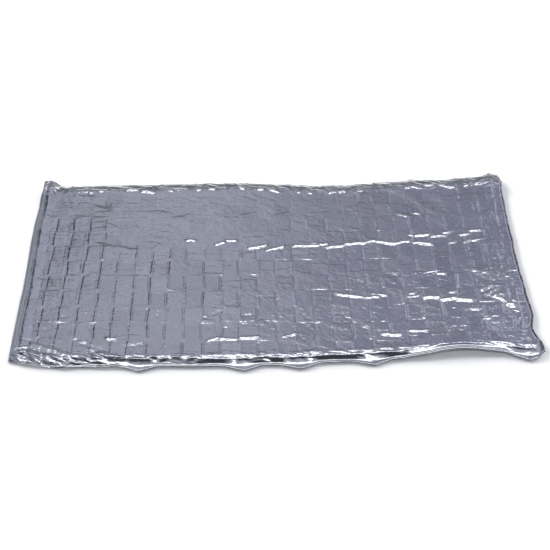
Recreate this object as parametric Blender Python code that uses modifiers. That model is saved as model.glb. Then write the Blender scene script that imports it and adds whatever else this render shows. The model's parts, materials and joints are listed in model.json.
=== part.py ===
"""Emergency foil sleeping bag lying flat: two films taped together along three edges, open at the head.

Metres, +Z up. +X runs from the foot to the mouth, and the origin is on the floor under the centre of the bag.
Real film is about 13 micrometres thick. Its solids here are FILM thick, and flat where the film is crumpled.
The bag keeps the creases of its pocket-size pack, PITCH apart, and the sections meet at those creases.
"""

import bmesh
import bpy

# Driving dimensions
PITCH = 0.0762  # distance between the crosswise creases
COLUMNS = 28  # creased panels along the bag
ROWS = 12  # creased panels across the bag
HEIGHT = 0.026  # top of the upper film's crests above the floor
FILM = 0.0006  # thickness of the solids that stand for the film
TAPE_REACH = 0.0381  # plan width of the seam tape, from a film's edge to the tape's fold
TAPE_FOLD_Z = 0.010  # height of the tape's fold
GAP = 0.0004  # clearance between neighbouring solids

# The bag's sections, counted in columns from its centre. Each one folds over the next, accordion fashion.
FOOT_END, FOOT_FOLD, MIDDLE_FOLD, FLAP_CREASE, MOUTH_END = -14, -7, 0, 8, 14
FLAP_ROWS = 2  # width of the strip of upper film that lifts at the mouth

COLLECTION = "emergency_foil_sleeping_bag"
FILM_COLOUR = (0.52, 0.53, 0.59, 1.0)
TAPE_COLOUR = (0.60, 0.61, 0.65, 1.0)

LENGTH = COLUMNS * PITCH
WIDTH = ROWS * PITCH
FILM_SIDE_Y = WIDTH / 2 - TAPE_REACH  # the films' side edges
FLAP_SIDE_Y = FLAP_ROWS * PITCH / 2
UPPER_Z = HEIGHT - FILM / 2  # middle of the upper film
LOWER_Z = FILM / 2  # middle of the lower film
TOP_HINGE_Z = HEIGHT + GAP / 2  # folded sections then lie a GAP apart
UNDER_HINGE_Z = -GAP / 2


def clear_scene():
    for obj in list(bpy.data.objects):
        bpy.data.objects.remove(obj, do_unlink=True)


def new_collection(name):
    collection = bpy.data.collections.new(name)
    bpy.context.scene.collection.children.link(collection)
    return collection


def metal_film(name, colour, roughness):
    material = bpy.data.materials.new(name)
    material.use_nodes = True
    shader = material.node_tree.nodes["Principled BSDF"]
    shader.inputs["Base Color"].default_value = colour
    shader.inputs["Metallic"].default_value = 1.0
    shader.inputs["Roughness"].default_value = roughness
    return material


class Section:
    """One rigid stretch of the bag. Its empty is on its hinge line, and its pieces hang from the empty."""

    def __init__(self, name, collection, hinge):
        self.collection = collection
        self.empty = bpy.data.objects.new(name, None)
        self.empty.location = hinge
        collection.objects.link(self.empty)
        bpy.context.view_layer.update()

    def adopt(self, piece, material):
        for holder in list(piece.users_collection):
            holder.objects.unlink(piece)
        self.collection.objects.link(piece)
        piece.data.materials.append(material)
        piece.parent = self.empty
        piece.matrix_parent_inverse = self.empty.matrix_world.inverted()

    def add_film(self, name, x_range, y_range, height, material):
        """A flat stretch of film that keeps half a GAP inside its ranges."""
        (x_low, x_high), (y_low, y_high) = x_range, y_range
        bpy.ops.mesh.primitive_cube_add(
            size=1.0,
            location=((x_low + x_high) / 2, (y_low + y_high) / 2, height),
            scale=(x_high - x_low - GAP, y_high - y_low - GAP, FILM),
        )
        film = bpy.context.object
        film.name = film.data.name = name
        bpy.ops.object.transform_apply(location=False, rotation=False, scale=True)
        self.adopt(film, material)

    def add_tape(self, name, film_edge, fold_edge, material):
        """Tape folded over both films' edges. Each edge is a pair of plan points, and the section is a V."""
        rails = [(film_edge, UPPER_Z), (fold_edge, TAPE_FOLD_Z), (film_edge, LOWER_Z + GAP)]
        mesh = bpy.data.meshes.new(name)
        sheet = bmesh.new()
        rows = [[sheet.verts.new((x, y, height)) for x, y in edge] for edge, height in rails]
        for upper, lower in zip(rows, rows[1:]):
            sheet.faces.new((upper[0], upper[1], lower[1], lower[0]))
        sheet.to_mesh(mesh)
        sheet.free()
        tape = bpy.data.objects.new(name, mesh)
        thickness = tape.modifiers.new("tape_thickness", "SOLIDIFY")
        thickness.thickness = FILM
        thickness.offset = 0.0
        self.adopt(tape, material)

    def add_side_tape(self, name, side, x_range, mitred, material):
        """Tape along one long side, at the front for side -1 and at the back for +1."""
        start, end = x_range[0] + GAP / 2, x_range[1] - GAP / 2
        film_y, fold_y = side * (FILM_SIDE_Y + GAP), side * (WIDTH / 2 - FILM)
        mitre = TAPE_REACH if mitred else 0.0
        film_edge = [(start + mitre, film_y), (end, film_y)]
        fold_edge = [(start + GAP, fold_y), (end, fold_y)]
        if side > 0:
            film_edge.reverse()
            fold_edge.reverse()
        self.add_tape(name, film_edge, fold_edge, material)

    def add_foot_tape(self, name, material):
        """Tape across the foot, mitred into both side tapes."""
        foot_x = FOOT_END * PITCH
        film_x, fold_x = foot_x + TAPE_REACH - GAP, foot_x + FILM
        film_y, fold_y = FILM_SIDE_Y - GAP, WIDTH / 2 - 3 * FILM
        film_edge = [(film_x, film_y), (film_x, -film_y)]
        fold_edge = [(fold_x, fold_y), (fold_x, -fold_y)]
        self.add_tape(name, film_edge, fold_edge, material)


def span(first_column, last_column):
    return first_column * PITCH, last_column * PITCH


def build_foot_section(collection, film, tape):
    """The foot quarter, hinged to the middle section along its underside."""
    section = Section("foot_section", collection, (FOOT_FOLD * PITCH, 0.0, UNDER_HINGE_Z))
    whole = span(FOOT_END, FOOT_FOLD)
    along, across = (whole[0] + TAPE_REACH, whole[1]), (-FILM_SIDE_Y, FILM_SIDE_Y)
    section.add_film("lower_film_foot", along, across, LOWER_Z, film)
    section.add_film("upper_film_foot", along, across, UPPER_Z, film)
    section.add_side_tape("front_seam_foot", -1, whole, True, tape)
    section.add_side_tape("back_seam_foot", 1, whole, True, tape)
    section.add_foot_tape("foot_seam", tape)


def build_middle_section(collection, film, tape):
    """The second quarter, hinged to the head half along its top."""
    section = Section("middle_section", collection, (MIDDLE_FOLD * PITCH, 0.0, TOP_HINGE_Z))
    along, across = span(FOOT_FOLD, MIDDLE_FOLD), (-FILM_SIDE_Y, FILM_SIDE_Y)
    section.add_film("lower_film_middle", along, across, LOWER_Z, film)
    section.add_film("upper_film_middle", along, across, UPPER_Z, film)
    section.add_side_tape("front_seam_middle", -1, along, False, tape)
    section.add_side_tape("back_seam_middle", 1, along, False, tape)


def build_head_section(collection, film, tape):
    """The head half, which stays put, with the upper film's two sides beside the lifting strip."""
    section = Section("head_section", collection, (0.0, 0.0, 0.0))
    whole, across = span(MIDDLE_FOLD, MOUTH_END), (-FILM_SIDE_Y, FILM_SIDE_Y)
    section.add_film("lower_film_head", whole, across, LOWER_Z, film)
    section.add_film("upper_film_head", span(MIDDLE_FOLD, FLAP_CREASE), across, UPPER_Z, film)
    mouth = span(FLAP_CREASE, MOUTH_END)
    section.add_film("mouth_side_film_front", mouth, (-FILM_SIDE_Y, -FLAP_SIDE_Y), UPPER_Z, film)
    section.add_film("mouth_side_film_back", mouth, (FLAP_SIDE_Y, FILM_SIDE_Y), UPPER_Z, film)
    section.add_side_tape("front_seam_head", -1, whole, False, tape)
    section.add_side_tape("back_seam_head", 1, whole, False, tape)


def build_mouth_flap(collection, film):
    """The middle strip of the upper film at the mouth, which lifts to let the sleeper in."""
    section = Section("mouth_flap", collection, (FLAP_CREASE * PITCH, 0.0, HEIGHT))
    across = (-FLAP_SIDE_Y, FLAP_SIDE_Y)
    section.add_film("mouth_flap_film", span(FLAP_CREASE, MOUTH_END), across, UPPER_Z, film)


def main():
    clear_scene()
    collection = new_collection(COLLECTION)
    film = metal_film("metallised_film", FILM_COLOUR, 0.28)
    tape = metal_film("seam_tape", TAPE_COLOUR, 0.22)
    build_foot_section(collection, film, tape)
    build_middle_section(collection, film, tape)
    build_head_section(collection, film, tape)
    build_mouth_flap(collection, film)


main()
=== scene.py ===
import json
import math

import bpy
import numpy as np
from mathutils import Matrix, Vector


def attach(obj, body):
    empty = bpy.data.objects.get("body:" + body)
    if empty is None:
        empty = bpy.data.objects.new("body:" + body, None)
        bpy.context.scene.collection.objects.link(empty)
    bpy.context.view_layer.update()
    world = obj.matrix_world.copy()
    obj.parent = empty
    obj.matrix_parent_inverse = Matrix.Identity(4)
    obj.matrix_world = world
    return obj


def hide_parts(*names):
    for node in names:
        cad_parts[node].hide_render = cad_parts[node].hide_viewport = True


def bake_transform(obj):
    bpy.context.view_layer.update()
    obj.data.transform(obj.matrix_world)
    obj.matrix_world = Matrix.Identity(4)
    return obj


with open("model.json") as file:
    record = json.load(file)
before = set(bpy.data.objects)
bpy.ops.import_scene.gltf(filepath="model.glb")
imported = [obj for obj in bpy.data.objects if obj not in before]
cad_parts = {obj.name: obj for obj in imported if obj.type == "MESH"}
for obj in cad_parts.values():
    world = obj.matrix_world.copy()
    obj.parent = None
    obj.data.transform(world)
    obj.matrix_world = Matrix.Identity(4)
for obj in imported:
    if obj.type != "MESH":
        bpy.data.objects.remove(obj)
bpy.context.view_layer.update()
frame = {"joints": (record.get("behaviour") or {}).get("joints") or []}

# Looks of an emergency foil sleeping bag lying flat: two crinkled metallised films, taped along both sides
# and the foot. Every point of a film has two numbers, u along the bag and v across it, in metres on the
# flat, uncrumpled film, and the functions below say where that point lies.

JOINTS = {joint["name"]: joint for joint in frame["joints"]}
MIDDLE_FOLD = JOINTS["middle_fold"]["pos_m"]
FOOT_FOLD = JOINTS["foot_fold"]["pos_m"]
FLAP_CREASE = JOINTS["mouth_lift"]["pos_m"]

COLUMNS, ROWS = 28, 12
FOLDED_COLUMNS = 7  # columns between the two folds
PITCH = (MIDDLE_FOLD[0] - FOOT_FOLD[0]) / FOLDED_COLUMNS
LENGTH, WIDTH = COLUMNS * PITCH, ROWS * PITCH
FILM_TOP = 0.0185  # usual height of the upper film
ROW_SHIFT = 0.012  # the rows lie a little to the back, because the front seam lies flat
UPPER_STEPS = (0.0034, 0.0022)  # mesh spacing of the upper film, along and across the bag
LOWER_STEPS = (0.0042, 0.0042)
FOOT_BAND = 0.062  # near the foot seam the mesh is as close along the bag as it is across it
TAPE_WIDTH = 0.024  # how far the tape reaches onto each film
TAPE_LIFT = 0.0005
TONGUE = 0.008  # how far the film in front of the flap runs on under it


# ---------------------------------------------------------------- noise and shape helpers

def mix(a, b, share):
    return a + (b - a) * share


def smoothstep(low, high, value):
    t = np.clip((value - low) / (high - low), 0.0, 1.0)
    return t * t * (3 - 2 * t)


def bump(value, centre, half_width):
    """A smooth hill, 1 at its centre and 0 from half_width on."""
    t = np.clip(1 - np.abs(value - centre) / half_width, 0.0, 1.0)
    return t * t * (3 - 2 * t)


def tent(value, centre, low_side, high_side):
    """A straight-sided ridge, 1 at its centre, whose two sides may differ in width."""
    d = value - centre
    return np.clip(1 - np.where(d < 0, -d / low_side, d / high_side), 0.0, 1.0)


def spot(u, v, centre, radii):
    """A smooth round patch, 1 at its centre."""
    far = np.hypot((u - centre[0]) / radii[0], (v - centre[1]) / radii[1])
    return bump(far, 0.0, 1.0)


def rounded_interp(value, knots, heights, softness=0.002):
    """Straight lines through the knots, with their corners rounded."""
    offsets = np.linspace(-softness, softness, 5)
    return sum(np.interp(value + offset, knots, heights) for offset in offsets) / len(offsets)


def lattice(seed):
    """A function that gives a fixed random number from -1 to 1 for each whole-number point."""
    table = np.random.default_rng(seed).uniform(-1, 1, (256, 256))
    return lambda i, j: table[i % 256, j % 256]


def smooth_noise(u, v, cell, seed):
    a, b = u / cell[0], v / cell[1]
    i, j = np.floor(a).astype(int), np.floor(b).astype(int)
    s, t = a - i, b - j
    s, t = s * s * (3 - 2 * s), t * t * (3 - 2 * t)
    at = lattice(seed)
    return mix(mix(at(i, j), at(i + 1, j), s), mix(at(i, j + 1), at(i + 1, j + 1), s), t)


def facets(u, v, cell, seed):
    """Flat triangles of random heights, as in crumpled foil, on a lattice bent out of regularity."""
    wide = (cell[0] * 1.9, cell[1] * 1.9)
    bent_u = u + 0.75 * cell[0] * smooth_noise(u, v, wide, seed + 1)
    bent_v = v + 0.75 * cell[1] * smooth_noise(u, v, wide, seed + 2)
    a, b = bent_u / cell[0] + 0.5 * bent_v / cell[1], bent_v / cell[1]
    i, j = np.floor(a).astype(int), np.floor(b).astype(int)
    s, t = a - i, b - j
    at = lattice(seed)
    near, far, right, left = at(i, j), at(i + 1, j + 1), at(i + 1, j), at(i, j + 1)
    lower = near + (right - near) * s + (left - near) * t
    upper = far + (left - far) * (1 - s) + (right - far) * (1 - t)
    return np.where(s + t < 1, lower, upper)


# ---------------------------------------------------------------- the bag's outline in plan

FRONT_DIPS = (-0.547, -0.134, 0.09, 0.38, 0.995)  # where the front seam pokes forward in a small V
# Stretches of the front seam where the film is tucked in above it: from u, to u, how strongly
TUCKS = (
    (-0.590, -0.500, 1.15), (-0.320, -0.185, 0.8), (-0.165, -0.055, 1.1), (-0.032, 0.020, 1.0),
    (0.046, 0.118, 1.1), (0.138, 0.345, 1.1), (0.368, 0.520, 1.0), (0.945, 1.030, 1.0),
)
ARCH_U, ARCH_HALF = 0.74, 0.30  # where the front seam draws in and lifts off the floor


def front_bow(u):
    """How far the front seam is pulled back from the straight edge, at the seam's fold."""
    bow = -0.013 * bump(u, -0.12, 0.75) + 0.030 * smoothstep(-0.86, -1.07, u)
    bow = bow + 0.032 * bump(u, ARCH_U, ARCH_HALF) + 0.014 * smoothstep(1.03, 1.067, u)
    return bow + 0.002 * smooth_noise(u, u * 0, (0.06, 1), 11)


def seam_dips(u):
    """How far the seam itself pokes forward from the film above it."""
    return sum(0.020 * tent(u, dip, 0.085, 0.070) for dip in FRONT_DIPS)


def back_bow(u):
    """How far the back seam is pushed out from the straight edge."""
    bow = 0.010 - 0.030 * bump(u, 0.28, 0.50) - 0.006 * bump(u, 0.75, 0.25)
    bow = bow + 0.022 * smoothstep(-0.97, -1.04, u) + 0.010 * smoothstep(0.96, 1.04, u)
    bow = bow + 0.009 * bump(u, 1.025, 0.022)
    tufts = np.maximum(0, smooth_noise(u, u * 0, (0.017, 1), 15) - 0.45)
    return bow + 0.003 * smooth_noise(u, u * 0, (0.05, 1), 12) + 0.009 * tufts


def mouth_bow(v):
    """How far the mouth's edge is pushed out from the straight edge."""
    bow = -0.020 * bump(v, -0.05, 0.42) - 0.024 * bump(v, -0.36, 0.09)
    return bow + 0.004 * smooth_noise(v, v * 0, (0.05, 1), 13)


def foot_bow(v):
    """How far the foot seam is pulled in from the straight edge."""
    bow = 0.008 * bump(v, 0.47, 0.12) - 0.005 * bump(v, 0.15, 0.3)
    return bow + 0.002 * smooth_noise(v, v * 0, (0.08, 1), 14)


def edge_lift(u, v):
    """How far the seams and the film beside them stand off the floor."""
    near_front = smoothstep(-0.30, -0.45, v)
    near_back = smoothstep(0.30, 0.45, v)
    front = 0.004 * bump(u, 1.05, 0.06) * near_front
    foot_corner = smoothstep(-0.98, -1.03, u) * (0.008 + 0.009 * smoothstep(0.412, 0.455, v))
    back = (0.010 * smoothstep(0.9, 1.04, u) + foot_corner) * near_back
    return front + back


def arch(u):
    """1 where the front seam is lifted off the floor, level with the film above it."""
    return bump(u, ARCH_U - 0.02, ARCH_HALF)


# ---------------------------------------------------------------- sections across the seams

# Distances in from a seam's fold, in metres, and the upper film's height at each of them, in millimetres
REACH = (0, 0.004, 0.008, 0.013, 0.018, 0.028, 0.038, 0.044, 0.052, 0.058, 0.063, 0.072, 0.090, 0.120)
TUCKED_UP = (4.5, 8.8, 6.4, 7.2, 11.8, 20.4, 20.8, 22.6, 20.8, 20.0, 19.6, 19.0, 18.6, 18.5)
LOOSE_UP = (4.5, 8.8, 6.8, 9.2, 11.6, 16.3, 20.6, 21.0, 19.8, 19.2, 18.9, 18.7, 18.5, 18.5)
ARCH_UP = (20.0, 24.0, 21.2, 25.2, 25.4, 25.0, 24.4, 24.6, 24.2, 23.7, 23.2, 22.2, 20.6, 18.8)
BACK_UP = (4.5, 8.6, 9.8, 12.2, 14.0, 16.8, 19.6, 21.2, 20.4, 19.6, 19.0, 18.3, 18.0, 18.5)
FOOT_UP = (4.5, 8.0, 9.2, 11.2, 13.2, 17.5, 20.8, 21.2, 20.8, 20.0, 19.5, 19.0, 18.5, 18.5)
ARCH_LIFT = (ARCH_UP[0] - LOOSE_UP[0]) / 1000  # the lower film rises as far as the seam does
SOFT_CEILING = 0.0335  # above this the crumples are pressed flatter


def section(reach, heights):
    return rounded_interp(reach, REACH, heights) / 1000


def front_section(reach, u):
    """Tucked in above the seam in stretches, sloping down elsewhere, and level at the arch."""
    tucked = 0
    for start, end, strength in TUCKS:
        begun = smoothstep(start - 0.012, start + 0.014, u)
        not_over = smoothstep(end + 0.012, end - 0.014, u)
        tucked = tucked + strength * begun * not_over
    tucked = tucked * (0.88 + 0.30 * smooth_noise(u, u * 0, (0.030, 1), 21))
    on_floor = mix(section(reach, LOOSE_UP), section(reach, TUCKED_UP), np.clip(tucked, 0, 1))
    return mix(on_floor, section(reach, ARCH_UP), arch(u))


def plan_and_base(u, v):
    """Plan position, and the height of the smooth film, with its seams shaped but not yet creased."""
    front, back, foot, mouth = v + WIDTH / 2, WIDTH / 2 - v, u + LENGTH / 2, LENGTH / 2 - u
    y = v + front_bow(u) * smoothstep(0.30, 0.0, front) + back_bow(u) * smoothstep(0.34, 0.0, back)
    y = y - seam_dips(u) * smoothstep(0.024, 0.004, front)
    x = u + mouth_bow(v) * smoothstep(0.26, 0.0, mouth) + foot_bow(v) * smoothstep(0.2, 0.0, foot)
    share = front_section(front, u) * section(back, BACK_UP) * section(foot, FOOT_UP) / FILM_TOP**3
    droop = 1 - 0.26 * smoothstep(0.016, 0.0, mouth) - 0.06 * smoothstep(0.12, 0.02, mouth)
    return x, y, FILM_TOP * share * droop


# ---------------------------------------------------------------- creases and crumples of the upper film

# Raised pleats that catch the light, from (u, v) to (u, v), and their height in millimetres
PLEATS = (
    (-0.390, 0.130, -0.345, 0.128, 4.5), (-0.260, 0.104, -0.215, 0.116, 4.0),
    (-0.215, 0.125, -0.165, 0.124, 4.2), (-0.115, 0.080, -0.030, 0.094, 5.0),
    (-0.040, 0.066, 0.045, 0.084, 5.2), (0.080, 0.086, 0.200, 0.084, 5.4),
    (0.155, 0.096, 0.235, 0.089, 5.0), (0.220, 0.074, 0.310, 0.082, 5.4),
    (0.300, 0.087, 0.450, 0.099, 6.6), (0.440, 0.099, 0.535, 0.083, 6.6),
    (0.530, 0.084, 0.600, 0.098, 6.2), (0.600, 0.090, 0.690, 0.083, 5.4),
    (0.590, 0.131, 0.615, 0.132, 3.6), (0.620, 0.128, 0.690, 0.132, 4.6),
    (0.690, 0.121, 0.760, 0.125, 4.4), (0.750, 0.140, 0.790, 0.147, 4.0),
    (0.820, 0.129, 0.870, 0.131, 4.2), (0.870, 0.146, 0.930, 0.152, 4.2),
    (0.835, 0.088, 0.870, 0.100, 4.0), (0.870, 0.095, 0.920, 0.102, 4.0),
    (0.765, 0.084, 0.800, 0.090, 3.8), (0.240, -0.158, 0.370, -0.183, 4.2),
    (0.360, -0.183, 0.430, -0.180, 3.8), (0.400, -0.164, 0.460, -0.175, 3.6),
    (0.550, -0.170, 0.590, -0.164, 3.6), (0.545, -0.186, 0.600, -0.180, 3.6),
    (0.610, -0.193, 0.685, -0.193, 6.4), (0.680, -0.206, 0.755, -0.194, 5.0),
    (0.720, -0.170, 0.755, -0.164, 3.4), (0.750, -0.203, 0.820, -0.213, 6.0),
    (0.590, -0.069, 0.630, -0.066, 3.4), (0.625, -0.071, 0.700, -0.060, 4.2),
    (0.695, -0.072, 0.725, -0.070, 3.4), (-0.285, -0.357, -0.230, -0.346, 3.6),
    (-0.235, -0.346, -0.160, -0.355, 3.4), (-0.155, -0.346, -0.070, -0.348, 3.6),
    (0.020, -0.350, 0.080, -0.333, 3.4), (-0.690, -0.345, -0.645, -0.345, 3.4),
    (0.420, -0.352, 0.500, -0.360, 3.6), (0.530, -0.348, 0.610, -0.357, 3.8),
    (0.680, -0.347, 0.770, -0.350, 3.8), (0.550, 0.252, 0.605, 0.233, 4.2),
    (0.630, 0.253, 0.665, 0.245, 3.8), (0.860, -0.160, 0.920, -0.138, 5.0),
    (0.900, -0.170, 0.935, -0.155, 4.5), (0.920, -0.192, 0.945, -0.172, 5.5),
    (0.940, -0.195, 0.965, -0.226, 5.0), (0.960, -0.230, 1.000, -0.236, 6.0),
    (0.985, -0.205, 1.008, -0.222, 4.5), (0.840, -0.308, 0.880, -0.298, 3.6),
    (-0.985, -0.378, -0.870, -0.402, 6.0), (-0.880, -0.402, -0.755, -0.430, 5.0),
    (-1.040, -0.410, -0.985, -0.385, 4.0), (-0.640, -0.426, -0.600, -0.430, 3.0),
    (-0.575, -0.434, -0.535, -0.436, 3.2), (-0.520, -0.426, -0.480, -0.424, 3.0),
    (-0.470, -0.432, -0.440, -0.429, 3.0), (-0.420, -0.426, -0.385, -0.428, 3.0),
    (-0.360, -0.432, -0.330, -0.430, 3.0), (-0.850, -0.418, -0.820, -0.432, 3.4),
    (-0.740, -0.424, -0.700, -0.432, 3.4), (0.560, -0.429, 0.700, -0.431, 1.3),
    (0.690, -0.430, 0.850, -0.430, 1.3),
)
# The same along the back hem, where the film puckers against the tape
HEM_PLEATS = (
    (-1.050, 0.428, -1.030, 0.450, 6.0), (-1.032, 0.436, -1.005, 0.450, 6.0),
    (-1.010, 0.422, -0.982, 0.436, 6.0), (-1.040, 0.410, -1.004, 0.414, 5.0),
    (-0.985, 0.442, -0.960, 0.430, 4.0), (-0.805, 0.406, -0.775, 0.406, 4.4),
    (-0.675, 0.407, -0.620, 0.412, 5.0), (-0.605, 0.400, -0.545, 0.398, 5.0),
    (-0.480, 0.404, -0.460, 0.400, 4.0), (-0.350, 0.408, -0.330, 0.408, 4.2),
    (-0.300, 0.407, -0.265, 0.404, 4.6), (-0.155, 0.412, -0.130, 0.408, 4.4),
    (-0.070, 0.406, -0.040, 0.407, 4.2), (-0.015, 0.412, 0.030, 0.396, 4.8),
    (0.115, 0.398, 0.130, 0.400, 3.8), (0.165, 0.400, 0.180, 0.398, 3.8),
    (0.260, 0.396, 0.290, 0.400, 4.2), (0.305, 0.402, 0.335, 0.402, 4.4),
    (0.385, 0.396, 0.420, 0.398, 4.2), (0.610, 0.401, 0.690, 0.390, 4.6),
    (0.705, 0.405, 0.755, 0.406, 4.8), (0.770, 0.408, 0.850, 0.391, 5.0),
    (0.895, 0.396, 0.930, 0.404, 4.6), (0.950, 0.405, 0.985, 0.408, 4.4),
)
# Furrows, which look dark, from (u, v) to (u, v), and their depth in millimetres
FURROWS = (
    (-0.770, 0.140, -0.690, 0.118, 4.2), (-0.705, 0.122, -0.600, 0.100, 3.0),
    (-0.805, 0.345, -0.750, 0.318, 4.0), (-0.800, 0.300, -0.748, 0.302, 1.6),
    (-0.800, 0.276, -0.748, 0.272, 1.6), (-0.800, 0.246, -0.748, 0.250, 1.5),
    (-0.800, 0.214, -0.748, 0.220, 1.6), (-0.742, 0.244, -0.690, 0.212, 1.6),
    (-1.035, 0.292, -0.985, 0.274, 1.5), (-0.890, 0.288, -0.845, 0.275, 1.2),
    (-0.820, 0.120, -0.750, 0.117, 1.2), (-0.885, -0.022, -0.835, -0.034, 1.4),
    (-0.830, -0.034, -0.790, -0.035, 1.2), (-0.800, -0.012, -0.750, -0.026, 1.4),
    (-0.740, -0.034, -0.675, -0.041, 1.2), (-1.020, -0.036, -0.968, -0.056, 1.6),
    (-0.825, -0.338, -0.760, -0.374, 1.8), (-0.765, -0.372, -0.680, -0.392, 1.6),
    (-0.905, -0.238, -0.850, -0.238, 1.2), (-0.600, -0.377, -0.520, -0.370, 1.5),
    (-0.620, -0.322, -0.520, -0.322, 1.1), (-0.735, 0.262, -0.600, 0.266, 1.1),
    (-0.440, 0.262, -0.370, 0.282, 1.6), (-0.140, 0.272, -0.080, 0.286, 1.6),
    (0.000, 0.266, 0.075, 0.288, 1.7), (0.160, 0.286, 0.250, 0.288, 1.5),
    (0.310, 0.284, 0.375, 0.286, 1.4), (0.030, 0.186, 0.085, 0.186, 1.5),
    (-0.320, -0.036, -0.220, -0.036, 1.6), (-0.300, -0.256, -0.225, -0.230, 1.7),
    (-0.150, -0.258, -0.085, -0.242, 1.4), (0.150, -0.137, 0.235, -0.141, 1.6),
    (-0.900, 0.398, -0.820, 0.392, 2.6), (0.930, -0.206, 0.970, -0.244, 2.4),
    (0.880, -0.186, 0.925, -0.205, 2.2), (0.940, -0.050, 0.990, -0.070, 2.4),
    (0.950, -0.095, 0.990, -0.120, 2.4), (0.790, -0.262, 0.840, -0.266, 1.8),
    (0.700, 0.288, 0.780, 0.292, 1.6), (-0.560, 0.300, -0.500, 0.300, 1.1),
    (-0.140, 0.146, -0.040, 0.150, 1.3),
)
# Crumpled patches: centre u and v, half-sizes, height, facet size
PATCHES = (
    (-1.02, 0.425, 0.060, 0.050, 0.0060, 0.016),
    (-0.98, -0.410, 0.110, 0.045, 0.0040, 0.020),
    (-0.82, -0.435, 0.160, 0.028, 0.0040, 0.020),
    (0.95, -0.195, 0.085, 0.060, 0.0016, 0.020),
    (1.00, -0.300, 0.080, 0.130, 0.0015, 0.018),
    (0.99, 0.050, 0.060, 0.300, 0.0014, 0.020),
    (0.97, -0.085, 0.030, 0.060, 0.0018, 0.024),
    (-0.86, 0.400, 0.130, 0.030, 0.0022, 0.014),
    (-0.93, -0.230, 0.140, 0.110, 0.0009, 0.012),
    (-0.68, -0.200, 0.210, 0.070, 0.0008, 0.011),
    (-0.50, -0.010, 0.130, 0.060, 0.0010, 0.011),
    (-0.45, -0.220, 0.140, 0.060, 0.0007, 0.011),
    (-0.55, 0.105, 0.120, 0.030, 0.0013, 0.011),
    (-0.52, 0.280, 0.160, 0.030, 0.0009, 0.011),
    (0.19, 0.200, 0.050, 0.050, 0.0008, 0.012),
    (0.02, -0.120, 0.090, 0.040, 0.0008, 0.011),
    (0.10, -0.240, 0.300, 0.060, 0.0008, 0.012),
)


def crease_line(j):
    """Where crease j lies along the bag: a little wide of even columns towards both ends."""
    even = j * PITCH
    return even + 0.047 * np.maximum(0, -0.40 - even) + 0.085 * np.maximum(0, even - 0.66)


def row_place(u, v):
    """How far across the bag a point lies from the middle lengthwise crease, which slants slightly."""
    return v - ROW_SHIFT - 0.025 * np.maximum(0, 0.3 - u)


def quiet(u, v):
    """The parts of the film at the back that were pressed smooth, with hardly any crosswise creases."""
    hem_side = smoothstep(0.25, 0.28, v) * smoothstep(0.40, 0.15, u)
    middle = smoothstep(0.07, 0.10, v) * smoothstep(-0.74, -0.68, u) * smoothstep(0.13, 0.05, u)
    return np.maximum(hem_side, middle)


def row_index(u, v):
    return np.floor(row_place(u, v) / PITCH).astype(int)


def lengthwise_creases(u, v):
    """The folds between rows: every second one is a ridge, and the others are shallow valleys."""
    total = np.zeros_like(u)
    right = smoothstep(-0.3, 0.5, u)
    place = row_place(u, v)
    nearest = np.rint(u / PITCH).astype(int)
    clear = smoothstep(0.004, 0.012, np.abs(u - crease_line(nearest)))
    for k in range(-ROWS // 2, ROWS // 2):
        wander = 0.0040 * smooth_noise(u, u * 0 + k, (0.16, 1), 31)
        wander = wander + 0.0016 * smooth_noise(u, u * 0 + k, (0.035, 1), 32)
        d = place - k * PITCH - wander
        strength = np.clip(0.45 + 0.75 * smooth_noise(u, u * 0 + 3 * k, (0.07, 1), 33), 0, 1)
        if k % 2:
            ridge = (0.0006 + 0.0002 * right) * clear * tent(d, 0, 0.014, 0.0032)
            total = total + strength * (0.0010 * tent(d, 0, 0.040, 0.034) + ridge)
        else:
            rim = 0.0007 * clear * tent(d, 0, 0.014, 0.003)
            total = total + strength * (rim - 0.0007 * tent(d, 0, 0.03, 0.03))
    return total


def crosswise_creases(u, v):
    """The folds between columns. Each turns from ridge to valley at every row, and steps a little there."""
    row = row_index(u, v)
    across = row_place(u, v) / PITCH - row
    fade = smoothstep(0.0, 0.15, across) * smoothstep(1.0, 0.85, across) * (1 - 0.95 * quiet(u, v))
    step, size, uneven = lattice(41), lattice(42), lattice(44)
    total = np.zeros_like(u)
    nearest = np.rint(u / PITCH).astype(int)
    side = 1 - 2 * smoothstep(-0.15, 0.15, u)
    for j in (nearest - 1, nearest, nearest + 1):
        sign = np.where((j + row) % 2 == 0, 1.0, -1.0)
        slant = 0.004 * size(j + 40, row + 9) * (across - 0.5)
        wave = 0.0022 * smooth_noise(v, u * 0 + j, (0.05, 1), 43) + slant
        half_width = 0.0042 + 0.0030 * np.abs(size(j, row))
        d = u - (crease_line(j) + 0.0026 * step(j, row) + wave + 0.5 * sign * side * half_width)
        depth = (0.25 - 0.20 * (1 - side) / 2 * uneven(j, row) ** 2) * half_width
        total = total + sign * depth * tent(d / half_width, 0, 1, 1) * fade
        total = total + sign * 0.0003 * tent(d, 0, 0.034, 0.034) * (1 - quiet(u, v))
    return total


def panel_tilts(u, v):
    """Each panel between the creases lies at a slightly different tilt."""
    right = 0.6 + 1.9 * smoothstep(0.1, 0.8, u)
    slow = 0.0012 * smooth_noise(u, v, (0.24, 0.2), 52)
    return 0.0009 * right * facets(u, row_place(u, v), (PITCH, PITCH), 51) + slow


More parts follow.
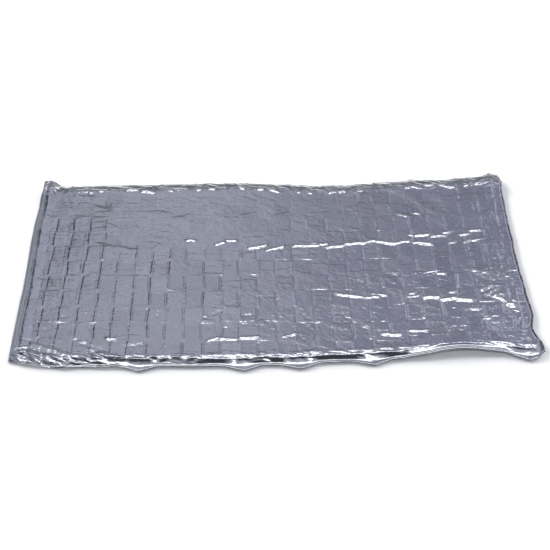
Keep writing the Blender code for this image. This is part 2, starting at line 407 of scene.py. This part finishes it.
def panel_crinkles(u, v):
    """A few short lengthwise crinkles inside each panel, stronger in some panels than in others."""
    row, column = row_index(u, v), np.floor(u / PITCH).astype(int)
    across, along = row_place(u, v) / PITCH - row, u / PITCH - column
    fade = smoothstep(0.0, 0.1, along) * smoothstep(1.0, 0.9, along)
    fade = fade * smoothstep(0.0, 0.05, across) * smoothstep(1.0, 0.95, across)
    wave = 0.05 * smooth_noise(u, v, (0.022, 0.05), 61)
    busy = 0.46 + 0.46 * smoothstep(-0.40, 0.10, u) * smoothstep(0.16, 0.06, v)
    total = np.zeros_like(u)
    for line in range(6):
        place, slope, height = lattice(62 + line), lattice(72 + line), lattice(82 + line)
        centre = 0.5 + 0.46 * place(column, row) + 0.16 * slope(column, row) * (along - 0.5) + wave
        size = 0.0016 + 0.0042 * np.abs(height(column, row))
        total = np.maximum(total, 0.26 * size * tent((across - centre) * PITCH / size, 0, 4.0, 1))
    return total * fade * busy * (1 - 0.9 * quiet(u, v))


def crumple(u, v):
    """Fine foil crumple over the whole film, in drifting patches."""
    drift = smooth_noise(u, v, (0.13, 0.075), 91)
    patchy = smoothstep(-0.4, 0.8, drift + 0.45 * u - 0.3 * quiet(u, v))
    coarse = 0.00052 * facets(u, v, (0.046, 0.021), 92)
    coarse = coarse + 0.00026 * facets(u, v, (0.013, 0.020), 89)
    fine = 0.00042 * facets(u, v, (0.022, 0.0095), 95)
    bands = bump(np.mod(row_place(u, v) / (2 * PITCH) + 0.5, 1), 0.5, 0.22)
    lined = smoothstep(-0.2, 0.6, smooth_noise(u, v, (0.09, 0.03), 99)) * (0.35 + 0.65 * bands)
    lined = lined * (1 - 0.7 * quiet(u, v)) * mix(1.0, 0.55, smoothstep(-0.2, 0.2, u))
    lines = 0.0009 * lined * np.abs(facets(u, v, (0.034, 0.0085), 98))
    return (0.50 + 0.95 * patchy) * (coarse + fine) + lines


def along_segment(u, v, line, overrun=0.006):
    """For points beside a straight fold: the distance to its far side, and how strongly the fold shows."""
    start, end = np.array(line[:2]), np.array(line[2:4])
    length = np.hypot(*(end - start))
    ahead = (end - start) / length
    run = (u - start[0]) * ahead[0] + (v - start[1]) * ahead[1]
    aside = (v - start[1]) * ahead[0] - (u - start[0]) * ahead[1]
    fade = smoothstep(-overrun, overrun, run) * smoothstep(length + overrun, length - overrun, run)
    return aside, fade


def near_line(u, v, line, margin):
    low_u, high_u = min(line[0], line[2]) - margin, max(line[0], line[2]) + margin
    low_v, high_v = min(line[1], line[3]) - margin, max(line[1], line[3]) + margin
    return np.nonzero((u > low_u) & (u < high_u) & (v > low_v) & (v < high_v))


def add_pleats(total, u, v, lines, back_slope):
    """Adds straight ridges whose front sides catch the light: the farther back they lie, the steeper."""
    for index, line in enumerate(lines):
        skew = math.cos(math.atan2(line[3] - line[1], line[2] - line[0]))
        middle = (line[1] + line[3]) / 2
        front_slope = (0.39 + 0.29 * middle + 4 * max(0, middle - 0.415)) / max(0.6, skew)
        height = line[4] / 1000
        at = near_line(u, v, line, 0.03)
        aside, fade = along_segment(u[at], v[at], line, overrun=0.010)
        jag = 0.0026 * facets(u[at], u[at] * 0 + 7.3 * index, (0.022, 1.0), 101)
        front, back = height / front_slope, height / back_slope
        ridge = height * fade * tent(aside + jag, front * 0.5, front, back)
        total[at] = np.maximum(total[at], ridge)


def add_furrows(total, u, v):
    for index, line in enumerate(FURROWS):
        at = near_line(u, v, line, 0.045)
        aside, fade = along_segment(u[at], v[at], line, overrun=0.028)
        jag = 0.0020 * facets(u[at], u[at] * 0 + 3.1 * index, (0.024, 1.0), 105)
        depth = line[4] / 1000
        total[at] -= depth * fade * tent(aside + jag, 0, depth / 0.27, depth / 0.12)


def patches(u, v):
    total = np.zeros_like(u)
    for index, (centre_u, centre_v, half_u, half_v, height, cell) in enumerate(PATCHES):
        mask = spot(u, v, (centre_u, centre_v), (half_u * 1.4, half_v * 1.4))
        fold = facets(u, v, (cell * 1.3, cell), 111 + 5 * index)
        fine_fold = facets(u, v, (cell * 0.5, cell * 0.45), 113 + 5 * index)
        total = total + mask * height * (0.75 * fold + 0.35 * fine_fold)
        total = total + 0.25 * height * mask
    return total


def hem_crinkles(u, v):
    """The puckers just inside the seams, where the film gathers against the tape."""
    back, front, foot = WIDTH / 2 - v, v + WIDTH / 2, u + LENGTH / 2
    total = bump(back, 0.032, 0.044) * 0.0021 * facets(u, v, (0.020, 0.011), 121)
    puckers = 0.0013 * (1 - 0.9 * arch(u)) * facets(u, v, (0.028, 0.009), 126)
    total = total + bump(front, 0.036, 0.040) * puckers
    rough_end = smoothstep(0.075, 0.045, front) * smoothstep(-0.52, -0.72, u)
    crushed = 0.0034 * facets(u, v, (0.040, 0.018), 131) + 0.0016 * facets(u, v, (0.02, 0.01), 134)
    total = total + rough_end * crushed
    return total + bump(foot, 0.05, 0.03) * 0.0006 * facets(u, v, (0.012, 0.03), 128)


def upper_film(u, v):
    x, y, base = plan_and_base(u, v)
    edge = np.minimum(np.minimum(v + WIDTH / 2, WIDTH / 2 - v), u + LENGTH / 2)
    inside = smoothstep(0.012, 0.060, edge)
    calm = 1 - 0.75 * arch(u) * smoothstep(0.080, 0.050, v + WIDTH / 2)
    relief = lengthwise_creases(u, v) + crosswise_creases(u, v) + panel_tilts(u, v)
    relief = (relief * inside + (panel_crinkles(u, v) + crumple(u, v)) * (0.25 + 0.75 * inside)) * calm
    relief = relief + hem_crinkles(u, v) + patches(u, v) * (0.35 + 0.65 * smoothstep(0.0, 0.02, edge))
    raised = np.zeros_like(u)
    add_pleats(raised, u, v, PLEATS, 0.65)
    add_pleats(raised, u, v, HEM_PLEATS, 0.65)
    add_furrows(relief, u, v)
    relief = relief * (1 - 0.6 * smoothstep(0.0, 0.002, raised)) + raised
    z = base + relief + edge_lift(u, v)
    z = z - 0.62 * np.maximum(0, z - SOFT_CEILING)
    return x, y, np.maximum(z, 0.0030 + 0.3 * edge_lift(u, v))


def chest_film(u, v):
    """The upper film, with a tongue that runs on under the mouth's pieces."""
    x, y, z = upper_film(u, v)
    return x, y, z - 0.0004 * smoothstep(0.0, 0.0025, u - FLAP_CREASE[0])


def lower_film(u, v):
    """The lower film lies on the floor, and rises to the seams."""
    x, y, _ = plan_and_base(u, v)
    edge = np.minimum(np.minimum(v + WIDTH / 2, WIDTH / 2 - v), u + LENGTH / 2)
    rise = 0.0034 * smoothstep(0.012, 0.0, edge)
    relief = 0.0011 + 0.0006 * facets(u, v, (0.05, 0.03), 141) + 0.0004 * facets(u, v, (0.02, 0.012), 144)
    relief = relief + 0.5 * np.abs(crosswise_creases(u, v))
    rise = rise + ARCH_LIFT * arch(u) * smoothstep(0.075, 0.0, v + WIDTH / 2)
    return x, y, relief + rise + edge_lift(u, v) * smoothstep(0.10, 0.0, edge)


# ---------------------------------------------------------------- meshes

def grid_mesh(name, points, flat, material, flip=False):
    """A sheet from a grid of points. flat holds each point's u and v, kept as the mesh's UV map."""
    rows, columns = points.shape[:2]
    index = np.arange(rows * columns).reshape(rows, columns)
    corners = (index[:-1, :-1], index[1:, :-1], index[1:, 1:], index[:-1, 1:])
    quads = np.stack([c.ravel() for c in (corners[::-1] if flip else corners)], axis=1)
    mesh = bpy.data.meshes.new(name)
    mesh.from_pydata(points.reshape(-1, 3), [], quads)
    layer = mesh.uv_layers.new(name="flat_film")
    layer.data.foreach_set("uv", flat.reshape(-1, 2)[quads.ravel()].astype(np.float32).ravel())
    mesh.shade_smooth()
    mesh.materials.append(material)
    piece = bpy.data.objects.new(name, mesh)
    bpy.context.scene.collection.objects.link(piece)
    return piece


def spread(start, end, step):
    return np.linspace(start, end, max(2, round(abs(end - start) / step) + 1))


def along_lines(low, high, step):
    """Where the mesh's lines lie along the bag: closer together near the foot."""
    band = FOOT_BAND - LENGTH / 2
    if low < band:
        return np.concatenate([spread(low, band, UPPER_STEPS[1])[:-1], spread(band, high, step)])
    return spread(low, high, step)


def film_piece(name, surface, u_range, v_range, steps, material, flip=False):
    u, v = np.meshgrid(along_lines(*u_range, steps[0]), spread(*v_range, steps[1]), indexing="ij")
    points = np.stack(surface(u, v), axis=-1)
    return grid_mesh(name, points, np.stack([u, v], axis=-1), material, flip)


def tape_piece(name, edge_point, run, material):
    """Tape folded over the films' edges. run holds distances along the seam, and edge_point(run, reach)
    gives the flat-film points a given reach in from the seam's fold, and which way is outward there."""
    reach = np.concatenate([spread(TAPE_WIDTH, 0.006, 0.002), spread(0.0048, 0.0, 0.0012)])
    strips, from_fold = [], []
    for surface, lift, reaches in ((upper_film, TAPE_LIFT, reach), (lower_film, -TAPE_LIFT, reach[::-1])):
        for r in reaches:
            u, v, outward = edge_point(run, np.full_like(run, r))
            x, y, z = surface(u, v)
            bulge = 0.0011 * smoothstep(0.008, 0.0, r)
            z = np.maximum(z + lift, 0.0003)
            strips.append(np.stack([x + outward[0] * bulge, y + outward[1] * bulge, z], axis=-1))
            from_fold.append(r if lift > 0 else -r)
    points = np.stack(strips, axis=1)
    flat = np.stack(np.meshgrid(run, np.array(from_fold), indexing="ij"), axis=-1)
    return grid_mesh(name, points, flat, material)


def side_edge(side):
    """The flat-film points beside one side seam: -1 is the front and +1 the back."""
    def edge_point(run, reach):
        return run, side * (WIDTH / 2 - reach), (0.0, side)
    return edge_point


def foot_edge(run, reach):
    return -LENGTH / 2 + reach, run, (-1.0, 0.0)


# ---------------------------------------------------------------- materials

FILM_TINT = (0.80, 0.81, 0.85)
TAPE_TINT = (0.84, 0.84, 0.86)
PANEL_SHADES = (0.94, 1.05)  # the panels between the creases differ a little in brightness
PANEL_HAZE = (0.75, 1.35)  # and in how blurred they mirror


def node(tree, kind, **settings):
    made = tree.nodes.new(kind)
    for key, value in settings.items():
        if key in made.inputs.keys():
            made.inputs[key].default_value = value
        else:
            setattr(made, key, value)
    return made


def film_material(name, tint, roughness, fine_bump):
    """Vacuum-metallised film: nearly a mirror, with fine crinkles, hazy panels and a faint colour drift."""
    material = bpy.data.materials.new(name)
    material.use_nodes = True
    tree = material.node_tree
    link = tree.links.new
    shader = tree.nodes["Principled BSDF"]
    shader.inputs["Metallic"].default_value = 1.0
    flat = node(tree, "ShaderNodeUVMap", uv_map="flat_film")
    onto_panels = node(tree, "ShaderNodeMapping")
    onto_panels.inputs["Location"].default_value = (PITCH / 2, PITCH / 2 - ROW_SHIFT, 0)
    link(flat.outputs["UV"], onto_panels.inputs["Vector"])
    panels = node(tree, "ShaderNodeTexVoronoi", Scale=1 / PITCH, Randomness=0.10)
    link(onto_panels.outputs["Vector"], panels.inputs["Vector"])
    drift = node(tree, "ShaderNodeTexNoise", Scale=5.0, Detail=3.0)
    link(flat.outputs["UV"], drift.inputs["Vector"])

    colour = node(tree, "ShaderNodeValToRGB")
    colour.color_ramp.elements[0].position, colour.color_ramp.elements[1].position = 0.3, 0.7
    colour.color_ramp.elements[0].color = [c * s for c, s in zip(tint, (0.98, 1.0, 0.98))] + [1]
    colour.color_ramp.elements[1].color = [c * s for c, s in zip(tint, (1.02, 0.99, 1.03))] + [1]
    link(drift.outputs["Fac"], colour.inputs["Fac"])
    vary = node(tree, "ShaderNodeHueSaturation")
    shade = node(tree, "ShaderNodeMapRange")
    shade.inputs["To Min"].default_value, shade.inputs["To Max"].default_value = PANEL_SHADES
    separate = node(tree, "ShaderNodeSeparateColor")
    link(panels.outputs["Color"], separate.inputs["Color"])
    link(separate.outputs["Red"], shade.inputs["Value"])
    link(shade.outputs["Result"], vary.inputs["Value"])
    link(colour.outputs["Color"], vary.inputs["Color"])
    link(vary.outputs["Color"], shader.inputs["Base Color"])

    haze = node(tree, "ShaderNodeMapRange")
    haze.inputs["To Min"].default_value = roughness * PANEL_HAZE[0]
    haze.inputs["To Max"].default_value = roughness * PANEL_HAZE[1]
    link(separate.outputs["Green"], haze.inputs["Value"])
    link(haze.outputs["Result"], shader.inputs["Roughness"])

    add_fine_crinkles(tree, flat, shader, fine_bump)
    return material


def add_fine_crinkles(tree, flat, shader, depth):
    """Crinkles too fine for the mesh, longer along the bag than across it."""
    link = tree.links.new
    stretch = node(tree, "ShaderNodeMapping")
    stretch.inputs["Scale"].default_value = (0.40, 1.0, 1.0)
    link(flat.outputs["UV"], stretch.inputs["Vector"])
    crinkle = node(tree, "ShaderNodeTexVoronoi", feature="DISTANCE_TO_EDGE", Scale=150.0)
    wrinkle = node(tree, "ShaderNodeTexNoise", Scale=260.0, Detail=4.0, Roughness=0.6)
    link(stretch.outputs["Vector"], crinkle.inputs["Vector"])
    link(stretch.outputs["Vector"], wrinkle.inputs["Vector"])
    both = node(tree, "ShaderNodeMath", operation="MULTIPLY_ADD")
    both.inputs[1].default_value = 0.45
    link(wrinkle.outputs["Fac"], both.inputs[0])
    link(crinkle.outputs["Distance"], both.inputs[2])
    relief = node(tree, "ShaderNodeBump", Strength=1.0, Distance=depth)
    link(both.outputs["Value"], relief.inputs["Height"])
    link(relief.outputs["Normal"], shader.inputs["Normal"])


# ---------------------------------------------------------------- stage

CAMERA_PLACE = (-0.050, -1.563, 2.396)
CAMERA_DOWN, CAMERA_TURN, CAMERA_ROLL = 57.64, 1.83, 0.18  # degrees
CAMERA_LENS = 43.31  # millimetres, on a sensor 36 wide
FLOOR_COLOUR = (0.86, 0.86, 0.86, 1)
FLOOR_SIZE = 14.0

# The room that the film mirrors, in soft round zones: a zone's direction, the angles from it, in degrees,
# where the zone is full and where it ends, and its colour
ROOM = (
    ((0.0, -0.85, 0.40), 24, 44, (0.045, 0.048, 0.056)),  # the dark room behind the camera
    ((-1.0, 0.30, 0.15), 30, 48, (0.30, 0.32, 0.37)),  # the left wall
    ((-0.58, 0.51, 0.63), 6, 20, (0.045, 0.048, 0.060)),  # and the dark opening above it
    ((0.36, 0.50, 0.80), 4, 26, (0.195, 0.205, 0.28)),  # dimmer to the right of the middle
    ((0.21, 0.60, 0.77), 2, 8, (0.320, 0.315, 0.365)),  # a lighter and a darker patch beside it
    ((0.27, 0.40, 0.87), 2, 9, (0.165, 0.175, 0.245)),
    ((0.64, 0.48, 0.60), 7, 19, (0.52, 0.52, 0.63)),  # a pale panel on the right
    ((0.90, 0.42, 0.02), 16, 34, (0.05, 0.05, 0.06)),  # and the dark below it
)
# How bright the far side of the room is, by the height of the direction looked at
FAR_SIDE = (
    (0.0, (0.36, 0.375, 0.38)), (0.21, (0.35, 0.365, 0.375)),
    (0.34, (0.15, 0.16, 0.18)), (0.61, (0.16, 0.17, 0.20)),
    (0.71, (0.32, 0.34, 0.39)), (0.77, (0.450, 0.475, 0.545)),
    (0.81, (0.435, 0.455, 0.525)), (0.85, (0.350, 0.360, 0.43)),
    (0.92, (0.335, 0.345, 0.41)), (1.0, (0.40, 0.41, 0.46)),
)


def make_world():
    world = bpy.data.worlds.new("studio")
    bpy.context.scene.world = world
    world.use_nodes = True
    tree = world.node_tree
    link = tree.links.new
    background = tree.nodes["Background"]
    direction = node(tree, "ShaderNodeTexCoord")
    split = node(tree, "ShaderNodeSeparateXYZ")
    link(direction.outputs["Generated"], split.inputs["Vector"])
    height = node(tree, "ShaderNodeValToRGB")
    ramp = height.color_ramp
    for position, _ in FAR_SIDE[1:-1]:
        ramp.elements.new(position)
    for element, (position, shade) in zip(ramp.elements, FAR_SIDE):
        element.position, element.color = position, (*shade, 1)
    link(split.outputs["Z"], height.inputs["Fac"])
    so_far = height.outputs["Color"]
    for axis, full, end, shade in ROOM:
        aim = node(tree, "ShaderNodeVectorMath", operation="DOT_PRODUCT")
        aim.inputs[1].default_value = Vector(axis).normalized()
        link(direction.outputs["Generated"], aim.inputs[0])
        zone = node(tree, "ShaderNodeMapRange", interpolation_type="SMOOTHSTEP")
        zone.inputs["From Min"].default_value = math.cos(math.radians(end))
        zone.inputs["From Max"].default_value = math.cos(math.radians(full))
        link(aim.outputs["Value"], zone.inputs["Value"])
        blend = node(tree, "ShaderNodeMix", data_type="RGBA")
        blend.inputs[7].default_value = (*shade, 1)
        link(zone.outputs["Result"], blend.inputs[0])
        link(so_far, blend.inputs[6])
        so_far = blend.outputs[2]
    seen = node(tree, "ShaderNodeLightPath")
    plain = node(tree, "ShaderNodeMix", data_type="RGBA")
    plain.inputs[7].default_value = (1.0, 1.0, 1.0, 1)
    link(seen.outputs["Is Camera Ray"], plain.inputs[0])
    link(so_far, plain.inputs[6])
    link(plain.outputs[2], background.inputs["Color"])


def area_light(name, place, aim, size, power):
    data = bpy.data.lights.new(name, "AREA")
    data.shape, data.size, data.size_y = "RECTANGLE", size[0], size[1]
    data.energy = power
    light = bpy.data.objects.new(name, data)
    light.location = place
    light.rotation_euler = (Vector(aim) - Vector(place)).to_track_quat("-Z", "Y").to_euler()
    light.visible_camera = False
    bpy.context.scene.collection.objects.link(light)


def side_light(name, towards, strength, spread):
    """A soft light from far away on one side. It lights the floor, but the film doesn't mirror it."""
    data = bpy.data.lights.new(name, "SUN")
    data.energy, data.angle = strength, math.radians(spread)
    light = bpy.data.objects.new(name, data)
    light.rotation_euler = (-Vector(towards)).to_track_quat("-Z", "Y").to_euler()
    light.visible_glossy = False
    bpy.context.scene.collection.objects.link(light)


def make_floor():
    bpy.ops.mesh.primitive_plane_add(size=FLOOR_SIZE, location=(0, 0, 0))
    floor = bpy.context.object
    floor.name = "floor"
    material = bpy.data.materials.new("pale_floor")
    material.use_nodes = True
    shader = material.node_tree.nodes["Principled BSDF"]
    shader.inputs["Base Color"].default_value = FLOOR_COLOUR
    shader.inputs["Roughness"].default_value = 0.9
    floor.data.materials.append(material)


def make_camera():
    camera = bpy.data.objects.new("camera", bpy.data.cameras.new("camera"))
    bpy.context.scene.collection.objects.link(camera)
    turn = Matrix.Rotation(math.radians(-CAMERA_TURN), 4, "Z")
    tip = Matrix.Rotation(math.radians(90 - CAMERA_DOWN), 4, "X")
    roll = Matrix.Rotation(math.radians(CAMERA_ROLL), 4, "Z")
    camera.matrix_world = Matrix.Translation(CAMERA_PLACE) @ turn @ tip @ roll
    camera.data.lens = CAMERA_LENS
    bpy.context.scene.camera = camera


def make_stage():
    make_floor()
    make_world()
    area_light("top_softbox", (0.2, -0.85, 5.0), (0.2, -0.85, 0), (6.6, 1.3), 48)
    side_light("left_light", (-1.0, 0.95, 0.35), 7.7, 30)
    side_light("right_light", (1.0, 0.90, 0.37), 4.1, 32)
    make_camera()
    bpy.context.scene.view_settings.view_transform = "Standard"


# ---------------------------------------------------------------- the bag

CUT_FOOT = -4 * PITCH  # the foot and middle pieces meet here, halfway between the two folds
CUT_HEAD = 3 * PITCH


def across_fold(piece):
    """Bakes the piece's placement into its mesh."""
    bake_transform(piece)


def lifted_mouth(piece):
    """Bakes the mouth film piece's placement into its mesh."""
    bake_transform(piece)


def declare_film(replaced):
    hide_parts(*replaced)


def make_upper_film(material):
    whole = (-WIDTH / 2, WIDTH / 2)
    foot, middle = (-LENGTH / 2, CUT_FOOT), (CUT_FOOT, CUT_HEAD)
    head, mouth = (CUT_HEAD, FLAP_CREASE[0]), (FLAP_CREASE[0], LENGTH / 2)
    front, back = (whole[0], 0.0), (0.0, whole[1])

    piece = film_piece("upper_film_foot_end", upper_film, foot, whole, UPPER_STEPS, material)
    across_fold(piece)
    declare_film(["upper_film_foot"])

    piece = film_piece("upper_film_centre", upper_film, middle, whole, UPPER_STEPS, material)
    across_fold(piece)
    declare_film(["upper_film_middle"])

    reach = (head[0], head[1] + TONGUE)
    piece = film_piece("upper_film_chest", chest_film, reach, whole, UPPER_STEPS, material)
    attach(piece, "head_section")
    declare_film(["upper_film_head"])

    piece = film_piece("mouth_film_front", upper_film, mouth, front, UPPER_STEPS, material)
    lifted_mouth(piece)
    nodes = ["mouth_side_film_front", "mouth_flap_film"]
    declare_film(nodes)

    piece = film_piece("mouth_film_back", upper_film, mouth, back, UPPER_STEPS, material)
    lifted_mouth(piece)
    declare_film(["mouth_side_film_back"])


def make_lower_film(material):
    whole = (-WIDTH / 2, WIDTH / 2)
    foot, head = (-LENGTH / 2, CUT_FOOT), (CUT_FOOT, LENGTH / 2)
    piece = film_piece("lower_film_foot_end", lower_film, foot, whole, LOWER_STEPS, material, flip=True)
    across_fold(piece)
    declare_film(["lower_film_foot"])
    piece = film_piece("lower_film_head_end", lower_film, head, whole, LOWER_STEPS, material, flip=True)
    across_fold(piece)
    declare_film(["lower_film_middle", "lower_film_head"])


def make_seams(material):
    foot_run = along_lines(-LENGTH / 2, CUT_FOOT, UPPER_STEPS[0])
    head_run = spread(CUT_FOOT, LENGTH / 2, UPPER_STEPS[0])
    for side, word in ((-1, "front"), (1, "back")):
        piece = tape_piece(f"{word}_tape_foot_end", side_edge(side), foot_run, material)
        across_fold(piece)
        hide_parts(f"{word}_seam_foot")
        piece = tape_piece(f"{word}_tape_head_end", side_edge(side), head_run, material)
        across_fold(piece)
        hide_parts(f"{word}_seam_middle", f"{word}_seam_head")
    piece = tape_piece("foot_tape", foot_edge, spread(-WIDTH / 2, WIDTH / 2, UPPER_STEPS[1]), material)
    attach(piece, "foot_section")
    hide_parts("foot_seam")


make_stage()
make_upper_film(film_material("crinkled_upper_film", FILM_TINT, roughness=0.15, fine_bump=0.0007))
make_lower_film(film_material("crinkled_lower_film", FILM_TINT, roughness=0.18, fine_bump=0.0004))
make_seams(film_material("seam_tape", TAPE_TINT, roughness=0.13, fine_bump=0.0002))
